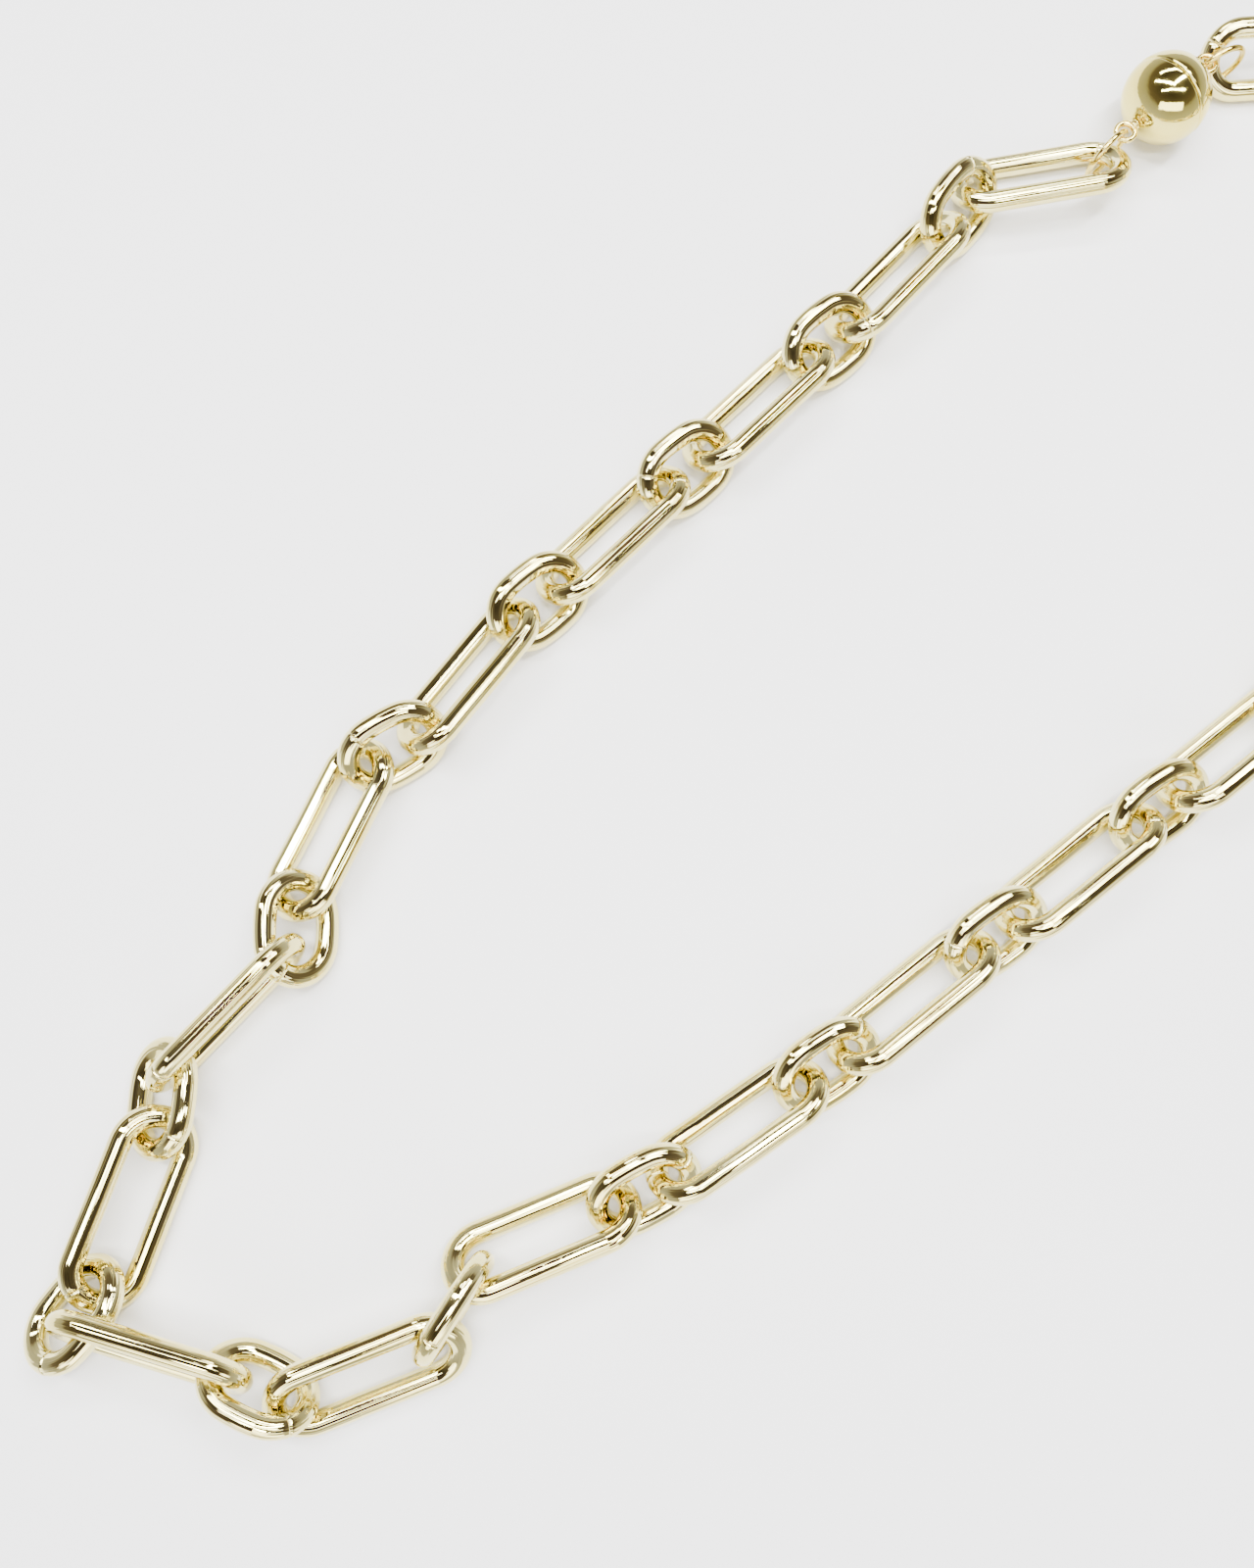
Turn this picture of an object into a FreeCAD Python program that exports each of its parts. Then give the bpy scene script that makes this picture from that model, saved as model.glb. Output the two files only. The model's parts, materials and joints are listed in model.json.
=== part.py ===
"""Chain necklace of oval links in round wire, with a magnetic ball clasp.

Long oval links and short oval links take turns along the chain, each threaded through the next.
The necklace lies closed on a table, as one loop. Lengths are in millimetres, angles in degrees and
+Z is up. The origin is at the centre of the loop's bounding box, on the table.
"""

import FreeCAD, Part
import math
import os

Vector = FreeCAD.Vector
UP = Vector(0, 0, 1)

# Links: one round wire and one width for both kinds, so that their round ends match. The width
# follows the wire, and each length is the width plus the straight bars, so threaded links stay
# clear of each other in any wire.
LINK_WIRE = 2.4
LINK_WIDTH = 3.75 * LINK_WIRE
LONG_LINK_LENGTH = LINK_WIDTH + 12.2
SHORT_LINK_LENGTH = LINK_WIDTH + 3.5

# Ball clasp: two hollow half balls, each with a disc magnet behind its mating face.
BALL_DIAMETER = 10.0
BALL_WALL = 0.6
MATING_GAP = 0.1
MAGNET_DIAMETER = 0.68 * BALL_DIAMETER
MAGNET_THICKNESS = 0.22 * BALL_DIAMETER
MAGNET_RECESS = 0.05
MAGNET_FIT = 0.05
MAGNET_SHOULDER = 0.5

# Clasp eye: a wire loop on a shank that passes through the ball's pole and is headed inside, so
# that the half ball turns freely on it.
EYE_WIRE = 0.65
EYE_DIAMETER = 0.28 * BALL_DIAMETER
EYE_NECK = 0.25
SHANK_DIAMETER = 1.0
SHANK_FIT = 0.03
SHANK_HEAD_DIAMETER = 1.8
SHANK_HEAD_THICKNESS = 0.4
SHANK_HEAD_SEAT = 0.02

# Jump ring: thin wire that joins an end link to a clasp eye. It stands on the table, and the end
# link's wire lies in it, below its middle and nearer to the clasp. Its middle radius grows with
# the ball that it has to reach and with the link wire that it goes round.
RING_WIRE = 0.7
RING_RADIUS = 0.17 * BALL_DIAMETER + 0.5 * LINK_WIRE
RING_TABLE_GAP = 0.05
RING_DROP = 0.09 * BALL_DIAMETER
RING_SLACK = 0.07 * BALL_DIAMETER

# How the chain lies. The front link is the middle one, and a branch leaves each of its two ends.
# Each pair is a link's heading in plan and its lean, which is how far its left side is raised.
# Each branch begins with a long link, and long and short links take turns. The back curve's pairs
# hold the turn from the link before in place of the heading.
FRONT_LINK = (57, 88)
LEFT_BEND = [
    (201, -36), (156, 48), (164, -69), (52, -32), (71, 27), (86, -34), (47, -89), (92, 35),
    (65, -27), (31, 45), (52, -41),
]
LEFT_STRAND = {"heading": 42.5, "links": 5, "long_lean": -37, "short_lean": 35}
LEFT_END = [(47, -40), (52, 48), (9, -26)]
RIGHT_BEND = [(22, -36), (28, 37), (34, -44), (34, 36)]
RIGHT_STRAND = {"heading": 36, "links": 5, "long_lean": -47, "short_lean": 40}
BACK_CURVE = [
    (4, 38), (6, -41), (8, 38), (7, -41), (9, 38), (8, -44), (21, 38), (24, -46), (28, 32),
    (25, -39),
]
BEND_RANGE = (0.7, 1.1)
STRAND_SWING = 2
LEFT_RING_TURN = 38
RIGHT_RING_TURN = 25

END_RADIUS = (LINK_WIDTH - LINK_WIRE) / 2
LONG_STRAIGHT = LONG_LINK_LENGTH - LINK_WIDTH
SHORT_STRAIGHT = SHORT_LINK_LENGTH - LINK_WIDTH
EYE_RADIUS = (EYE_DIAMETER - EYE_WIRE) / 2
BALL_RADIUS = BALL_DIAMETER / 2


def in_plan(degrees):
    """The level direction at this heading, counted anticlockwise from +X."""
    angle = math.radians(degrees)
    return Vector(math.cos(angle), math.sin(angle), 0)


def solve(excess, low, high):
    """Where a rising or falling function crosses zero between low and high, by halving."""
    rising = excess(high) > 0
    for _ in range(50):
        middle = (low + high) / 2
        if (excess(middle) > 0) == rising:
            high = middle
        else:
            low = middle
    return (low + high) / 2


# ---------------------------------------------------------------- how each piece lies


class Link:
    """An oval link: near and far are the centres of its two round ends, in its middle plane."""

    def __init__(self, name, heading, lean, pitch=0.0):
        self.name = name
        self.is_long = name.startswith("long")
        self.straight = LONG_STRAIGHT if self.is_long else SHORT_STRAIGHT
        self.heading = heading
        self.lean = math.radians(lean)
        level_left = in_plan(heading + 90)
        self.along = in_plan(heading) * math.cos(pitch) + UP * math.sin(pitch)
        rise = self.along.cross(level_left)
        self.side = level_left * math.cos(self.lean) + rise * math.sin(self.lean)
        self.normal = self.along.cross(self.side)

    def lay(self, near):
        """Puts the near end's centre over this place, at the height where the link rests."""
        height = END_RADIUS * abs(math.sin(self.lean)) + LINK_WIRE / 2
        self.near = Vector(near.x, near.y, height)
        self.far = self.near + self.along * self.straight

    def lay_through(self, previous):
        """Threads the near end through the far end of the link before it."""
        shared = previous.normal.cross(self.normal)
        shared.z = 0
        shared.normalize()
        if shared.dot(previous.along + self.along) < 0:
            shared = -shared
        self.lay(previous.far + shared * END_RADIUS)

    def reversed(self):
        """The same link seen from its other end."""
        other = Link(self.name, self.heading + 180, -math.degrees(self.lean))
        other.near, other.far = self.far, self.near
        return other

    def end_wire(self, turn):
        """The wire's centre on the far round end, this many degrees to the left of straight on."""
        angle = math.radians(turn)
        return self.far + (self.along * math.cos(angle) + self.side * math.sin(angle)) * END_RADIUS


class Ring:
    """A jump ring that stands on the table, round an end link's wire and through a clasp eye."""

    def __init__(self, name, link, turn):
        self.name = name
        wire = link.end_wire(turn)
        outward = wire - link.far
        outward.z = 0
        self.outward = outward.normalize()
        self.centre = Vector(wire.x, wire.y, ring_height()) - self.outward * RING_SLACK
        self.normal = UP.cross(self.outward)
        climb = BALL_RADIUS - ring_height()
        reach = math.sqrt(RING_RADIUS**2 - climb**2)
        self.eye = self.centre + self.outward * reach + UP * climb


def ring_height():
    """The height of a jump ring's centre."""
    return RING_RADIUS + RING_WIRE / 2 + RING_TABLE_GAP


def end_pitch(lean, turn):
    """The slope of an end link that lifts its wire, at this turn, into its place in the ring."""
    lean, turn = math.radians(lean), math.radians(turn)
    rest = END_RADIUS * abs(math.sin(lean)) + LINK_WIRE / 2
    rise = ring_height() - RING_DROP - rest
    forward = LONG_STRAIGHT + END_RADIUS * math.cos(turn)
    sideways = END_RADIUS * math.sin(turn) * math.sin(lean)
    return math.asin(rise / math.hypot(forward, sideways)) - math.atan2(sideways, forward)


def strand(heading, links, long_lean, short_lean, first_is_long):
    """Heading and lean of each link in a nearly straight strand."""
    pairs = []
    for place in range(links):
        if (place % 2 == 0) == first_is_long:
            pairs.append((heading + STRAND_SWING, long_lean))
        else:
            pairs.append((heading - STRAND_SWING, short_lean))
    return pairs


def back_curve(heading, bend):
    """Heading and lean of each link where the chain turns back to the clasp."""
    pairs = []
    for turn, lean in BACK_CURVE:
        heading += turn * bend
        pairs.append((heading, lean))
    return pairs


def lay_branch(front, pairs, long_number, short_number, step, ring_turn):
    """Lays links outward from the front link; step is how their numbers run."""
    links = []
    previous = front
    for place, (heading, lean) in enumerate(pairs):
        is_last = place == len(pairs) - 1
        if place % 2 == 0:
            name = f"long_link_{long_number:02d}"
            long_number += step
        else:
            name = f"short_link_{short_number:02d}"
            short_number += step
        link = Link(name, heading, lean, end_pitch(lean, ring_turn) if is_last else 0.0)
        link.lay_through(previous)
        links.append(link)
        previous = link
    return links


def lay_necklace(bend):
    """Every link and both jump rings; bend scales the turns of the back curve."""
    front = Link("short_link_10", *FRONT_LINK)
    front.lay(in_plan(FRONT_LINK[0]) * (-SHORT_STRAIGHT / 2))
    left_strand = strand(**LEFT_STRAND, first_is_long=False)
    right_strand = strand(**RIGHT_STRAND, first_is_long=True)
    left_pairs = LEFT_BEND + left_strand + LEFT_END
    right_pairs = RIGHT_BEND + right_strand + back_curve(RIGHT_STRAND["heading"], bend)
    left = lay_branch(front.reversed(), left_pairs, 10, 9, -1, LEFT_RING_TURN)
    right = lay_branch(front, right_pairs, 11, 11, 1, RIGHT_RING_TURN)
    rings = [
        Ring("jump_ring_left", left[-1], LEFT_RING_TURN),
        Ring("jump_ring_right", right[-1], RIGHT_RING_TURN),
    ]
    return front, left, right, rings


def eye_reach():
    """From the ball's centre to the centre of a clasp eye."""
    return BALL_RADIUS + EYE_NECK + EYE_DIAMETER / 2


def opening(bend):
    """How much further apart the two rings' eyes are than the clasp makes them."""
    left_ring, right_ring = lay_necklace(bend)[3]
    return left_ring.eye.distanceToPoint(right_ring.eye) - 2 * eye_reach()


# ---------------------------------------------------------------- solids


def turned(solid, x_axis, z_axis, origin):
    """The solid, moved from the world's axes to these."""
    y_axis = z_axis.cross(x_axis)
    matrix = FreeCAD.Matrix(
        x_axis.x, y_axis.x, z_axis.x, origin.x,
        x_axis.y, y_axis.y, z_axis.y, origin.y,
        x_axis.z, y_axis.z, z_axis.z, origin.z,
    )
    placed = solid.copy()
    placed.Placement = FreeCAD.Placement(matrix)
    return placed


def oval_link(straight):
    """A link about the origin, along X, in the XY plane: two straight bars and two round ends."""
    bar = LINK_WIRE / 2
    pieces = []
    for across in (-END_RADIUS, END_RADIUS):
        start = Vector(-straight / 2, across, 0)
        pieces.append(Part.makeCylinder(bar, straight, start, Vector(1, 0, 0)))
    for end in (-1, 1):
        centre = Vector(end * straight / 2, 0, 0)
        section = Part.Circle(centre + Vector(0, -END_RADIUS, 0), Vector(1, 0, 0), bar)
        face = Part.Face(Part.Wire(section.toShape()))
        pieces.append(face.revolve(centre, UP * end, 180))
    return pieces[0].multiFuse(pieces[1:]).removeSplitter().Solids[0]


def half_ball():
    """The shell on the +X side of the mating plane, with its magnet pocket and shank hole."""
    face = MATING_GAP / 2
    beyond = Part.makeBox(
        BALL_DIAMETER, 2 * BALL_DIAMETER, 2 * BALL_DIAMETER,
        Vector(face, -BALL_DIAMETER, -BALL_DIAMETER),
    )
    outer = Part.makeSphere(BALL_RADIUS).common(beyond)
    x_axis = Vector(1, 0, 0)
    pocket_radius = MAGNET_DIAMETER / 2 + MAGNET_FIT
    pocket_depth = MAGNET_RECESS + MAGNET_THICKNESS
    pocket = Part.makeCylinder(pocket_radius, pocket_depth, Vector(face, 0, 0), x_axis)
    core = Part.makeCylinder(pocket_radius - MAGNET_SHOULDER, BALL_RADIUS, Vector(face, 0, 0), x_axis)
    cavity = Part.makeSphere(BALL_RADIUS - BALL_WALL).common(core)
    hole = Part.makeCylinder(SHANK_DIAMETER / 2 + SHANK_FIT, BALL_RADIUS, Vector(face, 0, 0), x_axis)
    return outer.cut(pocket.multiFuse([cavity, hole])).Solids[0]


def magnet():
    """The disc magnet of the +X half, seated on its pocket's shoulder."""
    front = Vector(MATING_GAP / 2 + MAGNET_RECESS, 0, 0)
    return Part.makeCylinder(MAGNET_DIAMETER / 2, MAGNET_THICKNESS, front, Vector(1, 0, 0))


def clasp_eye():
    """The loop, shank and inner head of the +X half's eye; the loop lies level."""
    inner_radius = BALL_RADIUS - BALL_WALL
    seat = math.sqrt(inner_radius**2 - (SHANK_HEAD_DIAMETER / 2) ** 2) - SHANK_HEAD_SEAT
    x_axis = Vector(1, 0, 0)
    head_start = seat - SHANK_HEAD_THICKNESS
    head = Part.makeCylinder(
        SHANK_HEAD_DIAMETER / 2, SHANK_HEAD_THICKNESS, Vector(head_start, 0, 0), x_axis
    )
    shank_end = eye_reach() - EYE_RADIUS
    shank = Part.makeCylinder(
        SHANK_DIAMETER / 2, shank_end - head_start, Vector(head_start, 0, 0), x_axis
    )
    loop = Part.makeTorus(EYE_RADIUS, EYE_WIRE / 2, Vector(eye_reach(), 0, 0), UP)
    hole = Part.makeCylinder(
        EYE_RADIUS - EYE_WIRE / 2, EYE_DIAMETER, Vector(eye_reach(), 0, -EYE_DIAMETER / 2)
    )
    return loop.multiFuse([shank.cut(hole), head]).Solids[0]


def link_solids(links):
    """One solid for each link, at its place in the chain."""
    ovals = {kind: oval_link(LONG_STRAIGHT if kind else SHORT_STRAIGHT) for kind in (True, False)}
    solids = {}
    for link in links:
        middle = (link.near + link.far) / 2
        solids[link.name] = turned(ovals[link.is_long], link.along, link.normal, middle)
    return solids


def ring_solids(rings):
    """The two jump rings."""
    solids = {}
    for ring in rings:
        solids[ring.name] = Part.makeTorus(RING_RADIUS, RING_WIRE / 2, ring.centre, ring.normal)
    return solids


def clasp_solids(rings):
    """Both halves of the ball clasp, each facing outward to its own jump ring."""
    left_ring, right_ring = rings
    centre = (left_ring.eye + right_ring.eye) / 2
    solids = {}
    for side, ring in (("left", left_ring), ("right", right_ring)):
        outward = (ring.eye - centre).normalize()
        solids[f"clasp_shell_{side}"] = turned(half_ball(), outward, UP, centre)
        solids[f"clasp_magnet_{side}"] = turned(magnet(), outward, UP, centre)
        solids[f"clasp_eye_{side}"] = turned(clasp_eye(), outward, UP, centre)
    return solids


def plan_centre(links):
    """The middle of the box round the links, which reach furthest on every side."""
    middle = []
    for direction in (Vector(1, 0, 0), Vector(0, 1, 0)):
        highest, lowest = [], []
        for link in links:
            across = math.hypot(direction.dot(link.along), direction.dot(link.side)) * END_RADIUS
            ends = (direction.dot(link.near), direction.dot(link.far))
            highest.append(max(ends) + across)
            lowest.append(min(ends) - across)
        middle.append((max(highest) + min(lowest)) / 2)
    return Vector(middle[0], middle[1], 0)


def lay_at_origin():
    """The whole layout, closed at the clasp and centred on the origin."""
    bend = solve(opening, *BEND_RANGE)
    front, left, right, rings = lay_necklace(bend)
    links = [front] + left + right
    shift = plan_centre(links)
    for link in links:
        link.near -= shift
        link.far -= shift
    for ring in rings:
        ring.centre -= shift
        ring.eye -= shift
    return front, left, right, rings


def main():
    front, left, right, rings = lay_at_origin()
    solids = link_solids([front] + left + right)
    solids.update(ring_solids(rings))
    solids.update(clasp_solids(rings))
    os.makedirs("parts", exist_ok=True)
    for name, solid in solids.items():
        solid.exportStep(f"parts/{name}.step")


if __name__ == "__main__":
    main()
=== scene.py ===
"""The chain necklace in polished pale gold plating, lying on a plain pale table.

Every link, ring and clasp piece is swept or turned in mesh code where the CAD piece it stands for
lies. Sizes named here are in millimetres and MM turns them into metres.
"""

import json
import math

import bpy
import numpy as np
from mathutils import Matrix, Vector, noise


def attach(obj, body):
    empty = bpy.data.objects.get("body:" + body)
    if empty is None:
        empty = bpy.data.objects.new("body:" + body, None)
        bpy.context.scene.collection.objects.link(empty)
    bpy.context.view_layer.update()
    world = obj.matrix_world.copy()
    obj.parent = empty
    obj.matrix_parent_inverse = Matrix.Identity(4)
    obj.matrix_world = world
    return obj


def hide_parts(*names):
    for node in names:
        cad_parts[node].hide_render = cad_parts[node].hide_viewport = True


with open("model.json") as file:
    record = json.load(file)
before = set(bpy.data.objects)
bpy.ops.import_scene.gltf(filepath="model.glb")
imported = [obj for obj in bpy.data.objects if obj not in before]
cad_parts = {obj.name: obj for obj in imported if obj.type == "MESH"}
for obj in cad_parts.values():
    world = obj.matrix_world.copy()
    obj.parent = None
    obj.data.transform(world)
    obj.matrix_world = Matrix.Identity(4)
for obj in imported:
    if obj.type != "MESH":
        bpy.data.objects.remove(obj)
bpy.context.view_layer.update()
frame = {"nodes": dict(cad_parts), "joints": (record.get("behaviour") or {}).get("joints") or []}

MM = 0.001
UP = np.array((0.0, 0.0, 1.0))

# Clasp sizes that the eye can see, as the maker would state them.
BALL_RADIUS = 5.0
BALL_WALL = 0.6
FACE = 0.05
RIM_FILLET = 0.3
POCKET_RADIUS = 3.45
SHOULDER_RADIUS = 2.95
MAGNET_RADIUS = 3.4
MAGNET_FRONT = 0.1
MAGNET_BACK = 2.3
SHANK_HOLE_RADIUS = 0.53
SHANK_RADIUS = 0.5
SHANK_INNER_END = 3.9
HEAD_RADIUS = 0.88
EYE_WIRE_RADIUS = 0.325
EYE_LOOP_RADIUS = 1.075

# How the wire is drawn round a link: its steps, its unevenness and its solder seam.
WIRE_SIDES = 32
WIRE_STEP = 0.3
WIRE_SHARE = 0.995
WIRE_SWELL = 0.006
WIRE_SWAY = 0.04
RUN_UNIT = 20
SEAM_STEP = 0.035
SEAM_STEPS = (-4, -2.5, -1.5, -1, -0.5, 0, 0.5, 1, 1.5, 2.5, 4)
SEAM_REACH = 4.5
SEAM_DEPTH = 0.08
SEAM_WIDTH = 0.07
SEAM_USUAL_TURNS = (60, -120, 140, -40, 110)

# A short link lies nearer to an ellipse than a long one, and its bars bow outwards a little.
ROUNDED_SHARE = {"long": 0.0, "short": 0.4}
ROUNDED_BOW = 0.35

# A jump ring's cut.
SPLIT_GAP = 0.05
SPLIT_SKEW = 0.04
SPLIT_ROUNDING = 0.12
RING_STEPS = 120
RING_SIDES = 24

TABLE_REACH = 1500
CAMERA_TARGET = (-23.2, -12.4, 0)
CAMERA_DISTANCE = 153.5
CAMERA_TILT = 79
CAMERA_SENSOR = 36
CAMERA_LENS = 32.625

# The links whose solder seam shows on another part of the round end than on the rest.
SEAM_TURNS = {
    "short_link_08": -150, "long_link_12": 172, "long_link_20": 150, "short_link_12": 35,
    "short_link_11": 20, "long_link_10": -165, "short_link_06": 150,
}


# ---------------------------------------------------------------- how each CAD piece lies


def surface_axes(node):
    """A CAD node's centre, its three directions from longest to thinnest, and its half sizes."""
    mesh = frame["nodes"][node].data
    mesh.calc_loop_triangles()
    places = np.zeros(len(mesh.vertices) * 3)
    mesh.vertices.foreach_get("co", places)
    places = places.reshape(-1, 3)
    corners = np.zeros(len(mesh.loop_triangles) * 3, dtype=int)
    mesh.loop_triangles.foreach_get("vertices", corners)
    a, b, c = places[corners.reshape(-1, 3)].transpose(1, 0, 2)
    area = np.linalg.norm(np.cross(b - a, c - a), axis=1) / 2
    centre = ((a + b + c) / 3 * area[:, None]).sum(0) / area.sum()
    spread = np.zeros((3, 3))
    for point in (a - centre, b - centre, c - centre, a + b + c - 3 * centre):
        spread += (point * area[:, None]).T @ point
    axes = np.linalg.eigh(spread)[1].T[::-1]
    reach = (places - centre) @ axes.T
    return centre, axes, (reach.max(0) - reach.min(0)) / 2


def facing(direction, wanted):
    """The direction, turned round if it points away from the wanted one."""
    return direction if direction @ np.array(wanted) > 0 else -direction


def joint_of(body):
    """Where the body's joint is, and its axis."""
    for joint in frame["joints"]:
        if joint["child"] == body:
            return np.array(joint["pos_m"]), np.array(joint["axis"])


# ---------------------------------------------------------------- mesh makers


def shown(name, places, faces, body, nodes, material, runs=None):
    """Makes a smooth piece that rides on a body and stands for the given CAD nodes."""
    mesh = bpy.data.meshes.new(name)
    mesh.from_pydata([tuple(place) for place in places], [], faces)
    mesh.polygons.foreach_set("use_smooth", [True] * len(mesh.polygons))
    if runs is not None:
        layer = mesh.uv_layers.new(name="wire_run")
        layer.data.foreach_set("uv", np.asarray(runs, dtype=np.float32).ravel())
    mesh.update()
    piece = bpy.data.objects.new(name, mesh)
    bpy.context.scene.collection.objects.link(piece)
    piece.data.materials.append(material)
    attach(piece, body)
    if nodes:
        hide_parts(*nodes)


def around(count):
    """Cosines and sines of evenly spaced turns."""
    turns = np.arange(count) * 2 * math.pi / count
    return np.cos(turns), np.sin(turns)


def tube_faces(rings, sides, closed):
    """Quads between neighbouring rings of a tube, with their run and turn, and caps if open."""
    faces, runs = [], []
    last = rings if closed else rings - 1
    for ring in range(last):
        following = (ring + 1) % rings
        for side in range(sides):
            beside = (side + 1) % sides
            faces.append((
                ring * sides + side, ring * sides + beside,
                following * sides + beside, following * sides + side,
            ))
            low, high = side / sides, (side + 1) / sides
            runs += [(ring, low), (ring, high), (ring + 1, high), (ring + 1, low)]
    if not closed:
        faces.append(tuple(range(sides - 1, -1, -1)))
        faces.append(tuple(range((rings - 1) * sides, rings * sides)))
        runs += [(0, 0.5)] * sides + [(rings, 0.5)] * sides
    return faces, np.array(runs, dtype=float)


def swept(centres, outwards, normal, radii, sides, closed):
    """A round wire along a flat path: places, faces and runs."""
    cosines, sines = around(sides)
    places = []
    for centre, outward, radius in zip(centres, outwards, radii):
        for cosine, sine in zip(cosines, sines):
            places.append(centre + (outward * cosine + normal * sine) * radius)
    faces, runs = tube_faces(len(centres), sides, closed)
    return places, faces, runs


def oval_path(straight, end_radius, seam_at, seam_width, spacing):
    """Steps along an oval, closer together at the seam: (end's place, across, up, run) for each."""
    arc = math.pi * end_radius
    whole = 2 * (straight + arc)
    count = int(whole / spacing)
    steps = [whole * place / count for place in range(count)]
    near_seam = [seam_at + seam_width * share for share in SEAM_STEPS]
    steps = [
        step for step in steps
        if abs((step - seam_at + whole / 2) % whole - whole / 2) > SEAM_REACH * seam_width
    ]
    steps = sorted([step % whole for step in steps + near_seam])
    path = []
    for step in steps:
        if step < arc:
            turn = step / end_radius - math.pi / 2
            path.append((straight / 2, math.cos(turn), math.sin(turn), step))
        elif step < arc + straight:
            path.append((straight / 2 - (step - arc), 0.0, 1.0, step))
        elif step < 2 * arc + straight:
            turn = (step - arc - straight) / end_radius + math.pi / 2
            path.append((-straight / 2, math.cos(turn), math.sin(turn), step))
        else:
            path.append((step - 2 * arc - straight - straight / 2, 0.0, -1.0, step))
    return path, whole


def bent_link(node, place, material):
    """An oval link of drawn wire, closed by a fine solder seam on one round end."""
    centre, axes, half = surface_axes(node)
    kind = node.split("_")[0]
    along = facing(axes[0], (1.0, 0.3, 0.0))
    normal = facing(axes[2], UP)
    side = np.cross(normal, along)
    wire = half[2]
    end_radius = half[1] - wire
    straight = 2 * (half[0] - half[1])
    arc = math.pi * end_radius
    turn = SEAM_TURNS.get(node, SEAM_USUAL_TURNS[place % len(SEAM_USUAL_TURNS)])
    if abs(turn) < 90:
        seam_at = math.radians(turn + 90) * end_radius
    else:
        seam_at = arc + straight + math.radians(turn % 360 - 90) * end_radius
    path, whole = oval_path(straight, end_radius, seam_at, SEAM_STEP * MM, WIRE_STEP * MM)
    centres, outwards, radii = [], [], []
    for x, across, up, step in path:
        outward = along * across + side * up
        angle = 2 * math.pi * step / whole
        sway = noise.noise(Vector((math.cos(angle) * 1.3, math.sin(angle) * 1.3, place * 7.1)))
        swell = noise.noise(Vector((math.cos(angle) * 2.1, math.sin(angle) * 2.1, place * 3.7 + 40)))
        off_seam = (step - seam_at + whole / 2) % whole - whole / 2
        groove = SEAM_DEPTH * math.exp(-((off_seam / (SEAM_WIDTH * MM)) ** 2))
        far, wide = x + across * end_radius, up * end_radius
        turn = math.atan2(up, far / (straight / 2 + end_radius))
        far += ROUNDED_SHARE[kind] * ((straight / 2 + end_radius) * math.cos(turn) - far)
        wide += ROUNDED_SHARE[kind] * ((end_radius + ROUNDED_BOW * MM) * math.sin(turn) - wide)
        centres.append(centre + along * far + side * wide + outward * sway * WIRE_SWAY * MM)
        outwards.append(outward)
        radii.append(wire * (WIRE_SHARE + WIRE_SWELL * swell - groove))
    places, faces, runs = swept(centres, outwards, normal, radii, WIRE_SIDES, True)
    steps = np.array([step for *_, step in path] + [whole])
    runs[:, 0] = steps[runs[:, 0].astype(int)] / (RUN_UNIT * MM)
    shown(f"{node}_wire", places, faces, node, [node], material, runs)


def split_ring(node, split_turn, material):
    """A thin jump ring, cut once and pressed shut with a hairline gap."""
    centre, axes, half = surface_axes(node)
    normal = axes[2]
    wire = half[2]
    radius = half[0] - wire
    level = np.cross(UP, normal)
    level /= np.linalg.norm(level)
    rise = np.cross(normal, level)
    gap = SPLIT_GAP * MM / radius
    centres, outwards, radii = [], [], []
    for place in range(RING_STEPS):
        share = place / (RING_STEPS - 1)
        angle = math.radians(split_turn) + gap / 2 + share * (2 * math.pi - gap)
        outward = level * math.cos(angle) + rise * math.sin(angle)
        edge = min(share, 1 - share) * 2 * math.pi * radius
        radii.append(wire * (WIRE_SHARE - SPLIT_ROUNDING * math.exp(-edge / (SPLIT_GAP * MM))))
        centres.append(centre + outward * radius + normal * SPLIT_SKEW * MM * (share - 0.5))
        outwards.append(outward)
    places, faces, runs = swept(centres, outwards, normal, radii, RING_SIDES, False)
    runs[:, 0] *= 2 * math.pi * radius / RING_STEPS / (RUN_UNIT * MM)
    shown(f"{node}_wire", places, faces, node, [node], material, runs)


def rounded(profile, corner, steps=5):
    """A turned piece's outline with its sharp corners rounded by short curves."""
    outline = []
    count = len(profile)
    for place in range(count):
        before, here, after = (np.array(profile[(place + k) % count]) for k in (-1, 0, 1))
        back, ahead = before - here, after - here
        cut = min(corner, np.linalg.norm(back) * 0.45, np.linalg.norm(ahead) * 0.45)
        start = here + back / np.linalg.norm(back) * cut
        end = here + ahead / np.linalg.norm(ahead) * cut
        for step in range(steps + 1):
            share = step / steps
            outline.append(
                start * (1 - share) ** 2 + 2 * here * share * (1 - share) + end * share**2
            )
    return outline


def turned_ring(outline, origin, axis, sides):
    """A closed outline of (along axis, from axis) points, turned right round the axis."""
    level = np.cross(axis, UP)
    level /= np.linalg.norm(level)
    rise = np.cross(axis, level)
    cosines, sines = around(sides)
    places = []
    for forward, out in outline:
        for cosine, sine in zip(cosines, sines):
            places.append(origin + (axis * forward + (level * cosine + rise * sine) * out) * MM)
    faces, runs = tube_faces(len(outline), sides, True)
    runs[:, 0] /= len(outline)
    return places, faces, runs


def sphere_arc(radius, first, last, count):
    """Points on a sphere's outline between two distances from the axis."""
    turns = np.linspace(math.asin(first / radius), math.asin(last / radius), count)
    return [(radius * math.cos(turn), radius * math.sin(turn)) for turn in turns]


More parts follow.
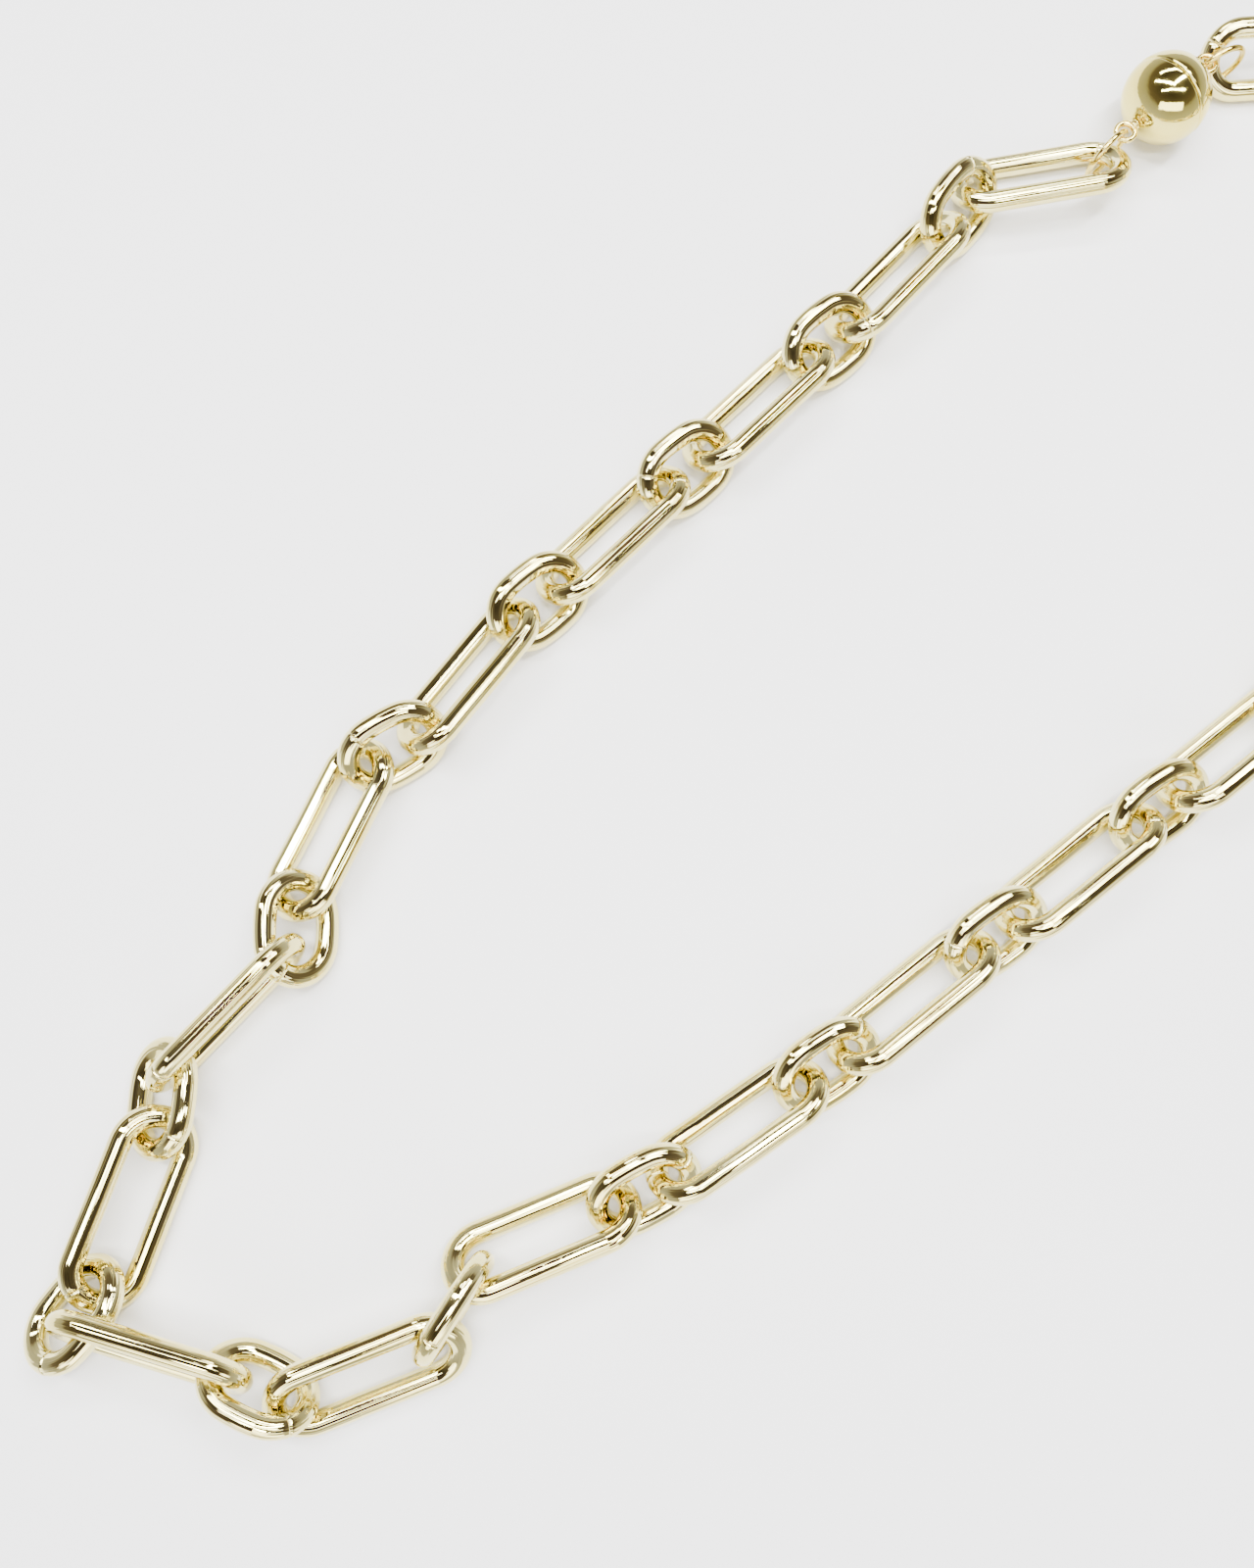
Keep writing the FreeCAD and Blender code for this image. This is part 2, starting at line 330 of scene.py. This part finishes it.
def ball_half(side, material):
    """Half of the ball: a thin shell with a rolled rim, its magnet pocket and its shank hole."""
    centre, outward = joint_of(f"clasp_half_{side}")
    widest = math.sqrt(BALL_RADIUS**2 - (FACE + RIM_FILLET) ** 2)
    dome = sphere_arc(BALL_RADIUS - 0.01, SHANK_HOLE_RADIUS + 0.05, widest - 0.01, 56)
    inner = BALL_RADIUS - BALL_WALL
    cavity = sphere_arc(inner, SHANK_HOLE_RADIUS, SHOULDER_RADIUS, 14)[::-1]
    rim = []
    for step in range(1, 7):
        turn = math.pi / 2 * step / 6
        rim.append((
            FACE + RIM_FILLET * (1 - math.sin(turn)),
            widest - 0.01 - RIM_FILLET * (1 - math.cos(turn)),
        ))
    outline = dome + rim
    outline += [(FACE, POCKET_RADIUS + 0.12), (FACE + 0.1, POCKET_RADIUS)]
    outline += [(MAGNET_BACK, POCKET_RADIUS)]
    outline += [(MAGNET_BACK, SHOULDER_RADIUS)] + cavity
    outline += [(BALL_RADIUS - 0.12, SHANK_HOLE_RADIUS)]
    places, faces, runs = turned_ring(outline, centre, outward, 128)
    shown(
        f"clasp_shell_{side}_dome", places, faces, f"clasp_half_{side}", [f"clasp_shell_{side}"],
        material, runs,
    )


def disc_magnet(side, material):
    """The disc magnet, with its ground faces and bevelled edges."""
    centre, outward = joint_of(f"clasp_half_{side}")
    block = [
        (MAGNET_FRONT, 0.02), (MAGNET_FRONT, MAGNET_RADIUS),
        (MAGNET_BACK, MAGNET_RADIUS), (MAGNET_BACK, 0.02),
    ]
    places, faces, runs = turned_ring(rounded(block, 0.18), centre, outward, 72)
    shown(
        f"clasp_magnet_{side}_disc", places, faces, f"clasp_half_{side}",
        [f"clasp_magnet_{side}"], material, runs,
    )


def soldered_eye(side, material):
    """The clasp's level loop, on a collared shank whose head turns inside the shell."""
    eye, outward = joint_of(f"clasp_eye_{side}")
    ball = joint_of(f"clasp_half_{side}")[0]
    reach = np.linalg.norm(eye - ball) / MM
    neck = reach - EYE_LOOP_RADIUS
    shank = [
        (SHANK_INNER_END, 0.02), (SHANK_INNER_END, HEAD_RADIUS),
        (SHANK_INNER_END + 0.38, HEAD_RADIUS),
        (SHANK_INNER_END + 0.38, SHANK_RADIUS - 0.01), (BALL_RADIUS + 0.02, SHANK_RADIUS - 0.01),
        (BALL_RADIUS + 0.06, 0.66), (BALL_RADIUS + 0.2, 0.7), (BALL_RADIUS + 0.34, 0.5),
        (neck + 0.02, 0.36), (neck + 0.1, 0.02),
    ]
    places, faces, runs = turned_ring(rounded(shank, 0.12), ball, outward, 40)
    level = np.cross(UP, outward)
    centres, outwards = [], []
    for angle in np.linspace(0, 2 * math.pi, 72, endpoint=False):
        out = outward * math.cos(angle) + level * math.sin(angle)
        centres.append(eye + out * EYE_LOOP_RADIUS * MM)
        outwards.append(out)
    radii = [(EYE_WIRE_RADIUS - 0.005) * MM] * len(centres)
    loop_places, loop_faces, loop_runs = swept(centres, outwards, UP, radii, 24, True)
    loop_runs[:, 0] /= len(centres)
    start = len(places)
    faces += [tuple(start + corner for corner in face) for face in loop_faces]
    shown(
        f"clasp_eye_{side}_loop", places + loop_places, faces, f"clasp_eye_{side}",
        [f"clasp_eye_{side}"], material, np.vstack([runs, loop_runs]),
    )


# ---------------------------------------------------------------- shared effects


def new_group(name, inputs, outputs):
    """A shader group with named inputs (name, kind, default) and outputs (name, kind)."""
    group = bpy.data.node_groups.new(name, "ShaderNodeTree")
    for label, kind, default in inputs:
        socket_type = f"NodeSocket{kind}"
        socket = group.interface.new_socket(label, in_out="INPUT", socket_type=socket_type)
        socket.default_value = default
    for label, kind in outputs:
        group.interface.new_socket(label, in_out="OUTPUT", socket_type=f"NodeSocket{kind}")
    return group, group.nodes.new("NodeGroupInput"), group.nodes.new("NodeGroupOutput")


def add(tree, kind, links=None, **settings):
    """Adds a node with its settings, and fills inputs from links or plain values."""
    node = tree.nodes.new(f"ShaderNode{kind}")
    for key, value in settings.items():
        setattr(node, key, value)
    for socket, source in (links or {}).items():
        if isinstance(source, bpy.types.NodeSocket):
            tree.links.new(source, node.inputs[socket])
        else:
            node.inputs[socket].default_value = source
    return node


def make_plating_tone():
    """Thin gold plating is a little deeper in some places than in others."""
    group, given, made = new_group(
        "plating_tone",
        [("Pale", "Color", (1, 1, 1, 1)), ("Deep", "Color", (1, 1, 1, 1)),
         ("Scale", "Float", 150.0)],
        [("Color", "Color")],
    )
    where = add(group, "TexCoord")
    cloud = add(group, "TexNoise", {
        "Vector": where.outputs["Object"], "Scale": given.outputs["Scale"],
        "Detail": 3.0, "Roughness": 0.6,
    })
    spread = add(group, "MapRange", {
        "Value": cloud.outputs["Fac"], "From Min": 0.35, "From Max": 0.7,
    })
    mix = add(group, "MixRGB", {"Fac": spread.outputs["Result"], "Color1": given.outputs["Pale"],
                                "Color2": given.outputs["Deep"]})
    group.links.new(mix.outputs["Color"], made.inputs["Color"])
    return group


def make_drawn_lines():
    """Faint lines that the drawplate and the polishing mop leave along a wire."""
    group, given, made = new_group(
        "drawn_lines",
        [("Round", "Float", 14.0), ("Run", "Float", 1.5), ("Waver", "Float", 0.5)],
        [("Height", "Float")],
    )
    where = add(group, "UVMap", uv_map="wire_run")
    split = add(group, "SeparateXYZ", {"Vector": where.outputs["UV"]})
    turn = add(group, "Math", {0: split.outputs["Y"], 1: 2 * math.pi}, operation="MULTIPLY")
    cosine = add(group, "Math", {0: turn.outputs["Value"]}, operation="COSINE")
    sine = add(group, "Math", {0: turn.outputs["Value"]}, operation="SINE")
    run = add(group, "Math", {0: split.outputs["X"], 1: given.outputs["Run"]},
              operation="MULTIPLY")
    joined = add(group, "CombineXYZ", {"X": cosine.outputs["Value"], "Y": sine.outputs["Value"],
                                       "Z": run.outputs["Value"]})
    fine = add(group, "TexNoise", {
        "Vector": joined.outputs["Vector"], "Scale": given.outputs["Round"], "Detail": 1.0,
    })
    broad = add(group, "TexNoise", {
        "Vector": joined.outputs["Vector"], "Scale": 2.2, "Detail": 1.0,
    })
    weighed = add(group, "Math", {0: broad.outputs["Fac"], 1: given.outputs["Waver"]},
                  operation="MULTIPLY")
    total = add(group, "Math", {0: fine.outputs["Fac"], 1: weighed.outputs["Value"]},
                operation="ADD")
    group.links.new(total.outputs["Value"], made.inputs["Height"])
    return group


def make_handling_film():
    """Patchy shine where fingers have touched, and small nicks."""
    group, given, made = new_group(
        "handling_film",
        [("Clean", "Float", 0.06), ("Touched", "Float", 0.14), ("Scale", "Float", 220.0)],
        [("Roughness", "Float"), ("Nicks", "Float")],
    )
    where = add(group, "TexCoord")
    patches = add(group, "TexNoise", {
        "Vector": where.outputs["Object"], "Scale": given.outputs["Scale"],
        "Detail": 4.0, "Roughness": 0.65,
    })
    rough = add(group, "MapRange", {
        "Value": patches.outputs["Fac"], "From Min": 0.4, "From Max": 0.72,
        "To Min": given.outputs["Clean"], "To Max": given.outputs["Touched"],
    })
    specks = add(group, "TexVoronoi", {"Vector": where.outputs["Object"], "Scale": 900.0})
    nicks = add(group, "MapRange", {
        "Value": specks.outputs["Distance"], "From Min": 0.05, "From Max": 0.14,
    })
    group.links.new(rough.outputs["Result"], made.inputs["Roughness"])
    group.links.new(nicks.outputs["Result"], made.inputs["Nicks"])
    return group


def place_group(tree, group, **values):
    """Puts a shared effect into a material with its own values."""
    node = tree.nodes.new("ShaderNodeGroup")
    node.node_tree = group
    for label, value in values.items():
        node.inputs[label].default_value = value
    return node


def plated_metal(name, pale, deep, lines, film, line_depth, nick_depth):
    """Polished metal, with the shared effects at this piece's own strength."""
    material = bpy.data.materials.new(name)
    material.use_nodes = True
    tree = material.node_tree
    shader = tree.nodes["Principled BSDF"]
    shader.inputs["Metallic"].default_value = 1.0
    tone = place_group(tree, PLATING_TONE, Pale=(*pale, 1), Deep=(*deep, 1))
    touch = place_group(tree, HANDLING_FILM, **film)
    drawn = place_group(tree, DRAWN_LINES, **lines)
    tree.links.new(tone.outputs["Color"], shader.inputs["Base Color"])
    tree.links.new(touch.outputs["Roughness"], shader.inputs["Roughness"])
    ridges = add(tree, "Bump", {"Height": drawn.outputs["Height"], "Strength": 1.0,
                                "Distance": line_depth * MM})
    dents = add(tree, "Bump", {"Height": touch.outputs["Nicks"], "Strength": 1.0,
                               "Distance": nick_depth * MM, "Normal": ridges.outputs["Normal"]})
    tree.links.new(dents.outputs["Normal"], shader.inputs["Normal"])
    return material


PLATING_TONE = make_plating_tone()
DRAWN_LINES = make_drawn_lines()
HANDLING_FILM = make_handling_film()

link_gold = plated_metal(
    "link_pale_gold", (0.87, 0.78, 0.36), (0.79, 0.67, 0.23),
    {"Round": 4.6, "Run": 0.10, "Waver": 0.5}, {"Clean": 0.03, "Touched": 0.08},
    line_depth=0.07, nick_depth=0.002,
)
clasp_gold = plated_metal(
    "clasp_pale_gold", (0.85, 0.74, 0.24), (0.78, 0.65, 0.15),
    {"Round": 5.0, "Run": 6.0, "Waver": 1.0}, {"Clean": 0.06, "Touched": 0.13},
    line_depth=0.006, nick_depth=0.002,
)
ring_gold = plated_metal(
    "ring_yellow_gold", (0.88, 0.71, 0.22), (0.80, 0.60, 0.14),
    {"Round": 6.0, "Run": 3.0, "Waver": 1.0}, {"Clean": 0.07, "Touched": 0.15},
    line_depth=0.006, nick_depth=0.001,
)
magnet_nickel = plated_metal(
    "magnet_ground_nickel", (0.62, 0.61, 0.60), (0.52, 0.51, 0.50),
    {"Round": 7.0, "Run": 30.0, "Waver": 0.4}, {"Clean": 0.22, "Touched": 0.38},
    line_depth=0.006, nick_depth=0.001,
)


# ---------------------------------------------------------------- the necklace

link_nodes = sorted(name for name in frame["nodes"] if "_link_" in name)
for place, node in enumerate(link_nodes):
    bent_link(node, place, link_gold)
split_ring("jump_ring_left", 205, ring_gold)
split_ring("jump_ring_right", 335, ring_gold)
for side in ("left", "right"):
    ball_half(side, clasp_gold)
    disc_magnet(side, magnet_nickel)
    soldered_eye(side, ring_gold)


# ---------------------------------------------------------------- table, light and camera


def table_top():
    """A wide pale table, faintly mottled."""
    mesh = bpy.data.meshes.new("table_top")
    reach = TABLE_REACH * MM
    corners = [(-reach, -reach, 0), (reach, -reach, 0), (reach, reach, 0), (-reach, reach, 0)]
    mesh.from_pydata(corners, [], [(0, 1, 2, 3)])
    table = bpy.data.objects.new("table_top", mesh)
    bpy.context.scene.collection.objects.link(table)
    material = bpy.data.materials.new("pale_table")
    material.use_nodes = True
    tree = material.node_tree
    shader = tree.nodes["Principled BSDF"]
    where = add(tree, "TexCoord")
    cloud = add(tree, "TexNoise", {
        "Vector": where.outputs["Object"], "Scale": 9.0, "Detail": 3.0,
    })
    colour = add(tree, "MixRGB", {"Fac": cloud.outputs["Fac"], "Color1": (0.86, 0.86, 0.875, 1),
                                  "Color2": (0.91, 0.91, 0.92, 1)})
    tree.links.new(colour.outputs["Color"], shader.inputs["Base Color"])
    shader.inputs["Roughness"].default_value = 0.45
    mesh.materials.append(material)


def soft_light(name, place, width, depth, watts, colour=(1, 1, 1)):
    """A rectangular soft light, placed in metres, that faces the necklace."""
    data = bpy.data.lights.new(name, "AREA")
    data.shape = "RECTANGLE"
    data.size, data.size_y = width, depth
    data.energy = watts
    data.color = colour
    lamp = bpy.data.objects.new(name, data)
    bpy.context.scene.collection.objects.link(lamp)
    lamp.location = place
    lamp.rotation_euler = (-Vector(place)).to_track_quat("-Z", "Y").to_euler()
    lamp.visible_camera = False


def room_glow():
    """A dark warm room overhead and pale walls low down; plain pale where it is looked at."""
    world = bpy.data.worlds.new("studio")
    bpy.context.scene.world = world
    world.use_nodes = True
    tree = world.node_tree
    where = add(tree, "TexCoord")
    split = add(tree, "SeparateXYZ", {"Vector": where.outputs["Generated"]})
    ramp = add(tree, "ValToRGB", {"Fac": split.outputs["Z"]})
    stops = ramp.color_ramp.elements
    stops[0].position, stops[0].color = 0.0, (0.95, 0.94, 0.92, 1)
    stops[1].position, stops[1].color = 1.0, (0.16, 0.14, 0.125, 1)
    for position, colour in ((0.38, (0.62, 0.60, 0.56, 1)), (0.50, (0.20, 0.165, 0.14, 1)),
                             (0.88, (0.06, 0.048, 0.04, 1))):
        stop = stops.new(position)
        stop.color = colour
    sight = add(tree, "LightPath")
    mix = add(tree, "MixRGB", {
        "Fac": sight.outputs["Is Camera Ray"], "Color1": ramp.outputs["Color"],
        "Color2": (0.84, 0.84, 0.85, 1),
    })
    tree.links.new(mix.outputs["Color"], tree.nodes["Background"].inputs["Color"])
    tree.nodes["Background"].inputs["Strength"].default_value = 1.0


def aim_camera():
    """Looks down at the front left part of the loop, from just short of straight above."""
    data = bpy.data.cameras.new("camera")
    data.sensor_width = CAMERA_SENSOR
    data.lens = CAMERA_LENS
    camera = bpy.data.objects.new("camera", data)
    bpy.context.scene.collection.objects.link(camera)
    target = Vector(CAMERA_TARGET) * MM
    tilt = math.radians(CAMERA_TILT)
    camera.location = target + Vector((0, -math.cos(tilt), math.sin(tilt))) * CAMERA_DISTANCE * MM
    camera.rotation_euler = (math.radians(90 - CAMERA_TILT), 0, 0)
    bpy.context.scene.camera = camera


table_top()
room_glow()
soft_light("overhead_strip_left", (-0.30, 0.15, 0.9), 0.09, 0.9, 14)
soft_light("overhead_strip_right", (0.32, 0.25, 0.9), 0.10, 0.7, 13)
soft_light("overhead_strip_across", (0.0, -0.22, 0.95), 1.1, 0.07, 10)
soft_light("overhead_strip_back", (0.0, 0.62, 0.8), 0.9, 0.09, 9)
soft_light("front_wall", (0.0, -1.1, 0.75), 1.6, 0.5, 18, (1, 0.985, 0.96))
aim_camera()
